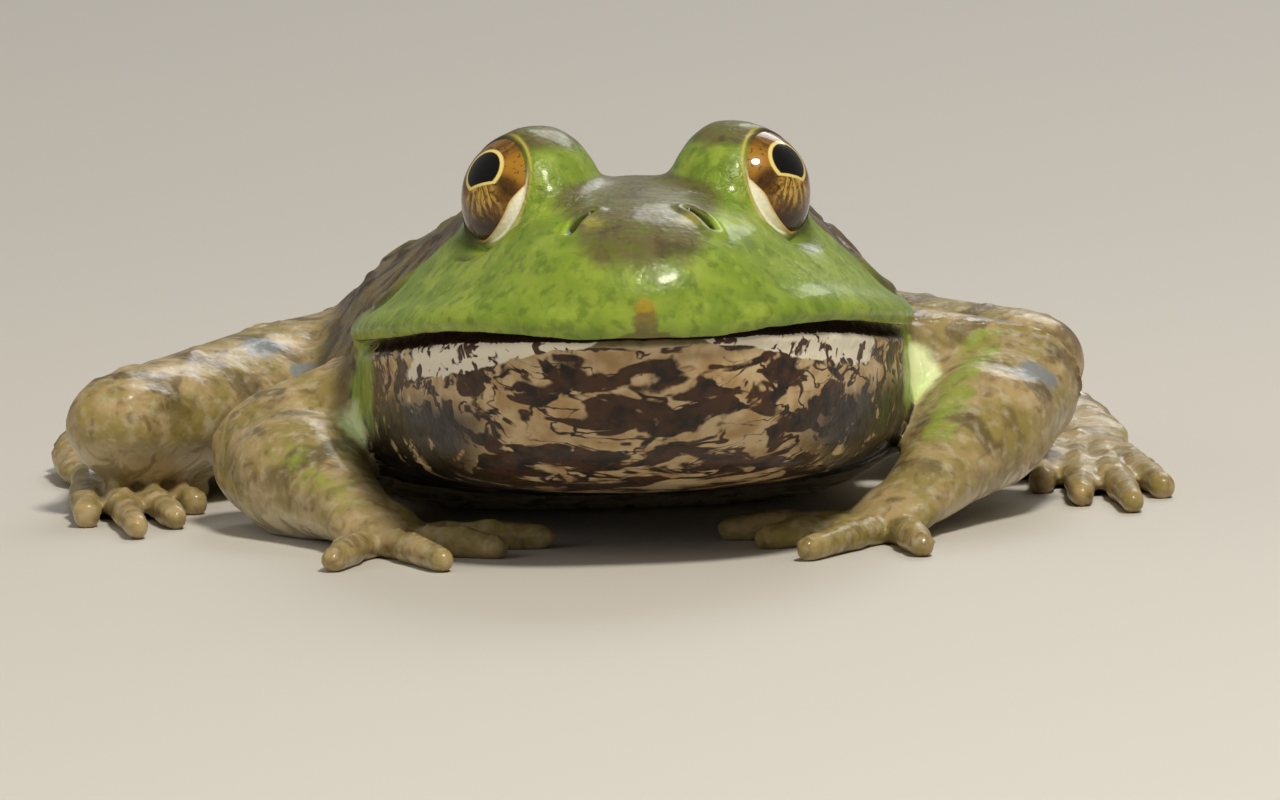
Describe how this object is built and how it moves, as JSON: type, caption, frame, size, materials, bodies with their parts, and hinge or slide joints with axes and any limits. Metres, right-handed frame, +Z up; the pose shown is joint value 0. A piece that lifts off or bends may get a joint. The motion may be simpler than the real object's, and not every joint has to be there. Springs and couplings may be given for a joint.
{
  "type": "bullfrog",
  "caption": "Still life-size model of an American bullfrog, crouched flat with its head raised, mouth shut and eyes open.",
  "frame": {"origin": "on the flat of the belly, level with the floor, under the middle of the body", "axes": "-Y the way the frog faces, +X the frog's left side, +Z up"},
  "size_m": [0.1155, 0.1379, 0.0432],
  "materials": {
    "face_skin": "moist, faintly granular skin, yellow-green with grey-brown shading on the crown",
    "throat_skin": "moist smooth skin, cream with dark brown marbling",
    "back_skin": "moist granular skin, olive brown with darker blotches",
    "leg_skin": "moist skin, tan and brown with grey-brown bars",
    "eye": "wet and glossy, golden-brown iris with a black pupil",
    "eardrum_skin": "thin taut skin, brown with a darker rim"
  },
  "bodies": {
    "root": {"head": "face_skin", "lower_jaw": "throat_skin", "trunk": "back_skin", "eye_left": "eye", "eardrum_left": "eardrum_skin", "upper_arm_left": "leg_skin", "forearm_left": "leg_skin", "hand_left": "leg_skin", "thigh_left": "leg_skin", "shank_left": "leg_skin", "ankle_left": "leg_skin", "foot_left": "leg_skin", "eye_right": "eye", "eardrum_right": "eardrum_skin", "upper_arm_right": "leg_skin", "forearm_right": "leg_skin", "hand_right": "leg_skin", "thigh_right": "leg_skin", "shank_right": "leg_skin", "ankle_right": "leg_skin", "foot_right": "leg_skin"}
  },
  "joints": []
}
